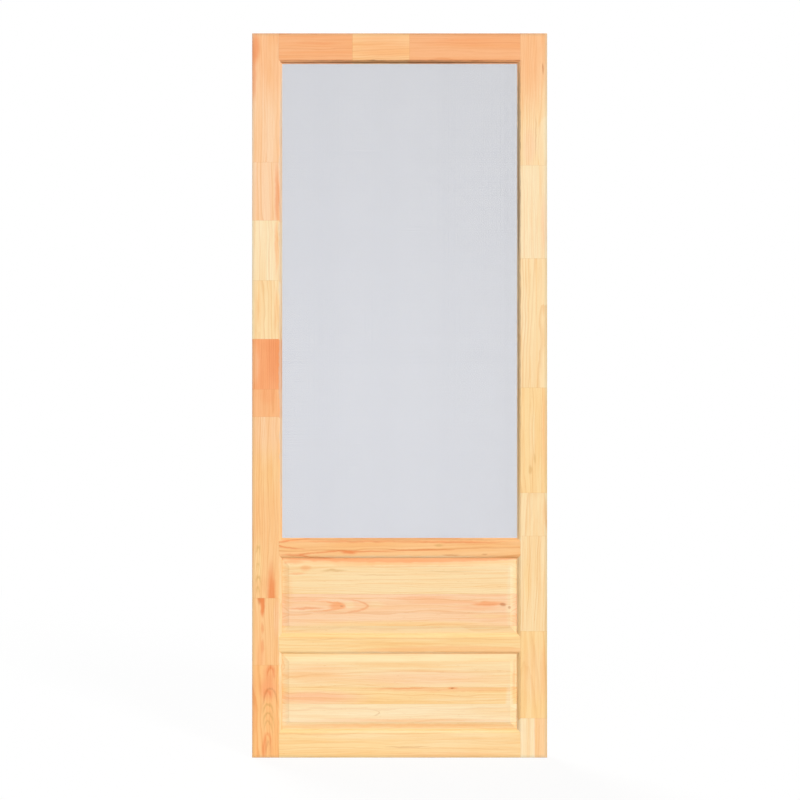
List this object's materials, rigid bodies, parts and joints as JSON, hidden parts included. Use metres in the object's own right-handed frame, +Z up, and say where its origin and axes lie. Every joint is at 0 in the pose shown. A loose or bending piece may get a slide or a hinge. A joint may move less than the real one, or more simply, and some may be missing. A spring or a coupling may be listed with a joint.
{
  "type": "wooden screen door",
  "caption": "Hinged-leaf wooden screen door: moulded pine stiles and rails, raised panels below and a tall insect screen above, held by a vinyl spline.",
  "frame": {"origin": "bottom of the hinge edge, at mid-thickness", "axes": "+X across the leaf from the hinge edge to the latch edge, +Y through the thickness from the front face to the back, +Z up"},
  "size_m": [0.838, 0.0286, 2.057],
  "materials": {
    "pine": "bare sanded finger-jointed pine",
    "pine_panel": "bare sanded edge-glued pine",
    "screen": "coated fibreglass insect mesh, matt grey",
    "spline": "ribbed dark grey vinyl"
  },
  "bodies": {
    "root": {"hinge_stile": "pine", "latch_stile": "pine", "top_rail": "pine", "lock_rail": "pine", "panel_rail": "pine", "bottom_rail": "pine", "upper_panel": "pine_panel", "lower_panel": "pine_panel", "screen_mesh": "screen", "spline_left": "spline", "spline_right": "spline", "spline_bottom": "spline", "spline_top": "spline"}
  },
  "joints": []
}
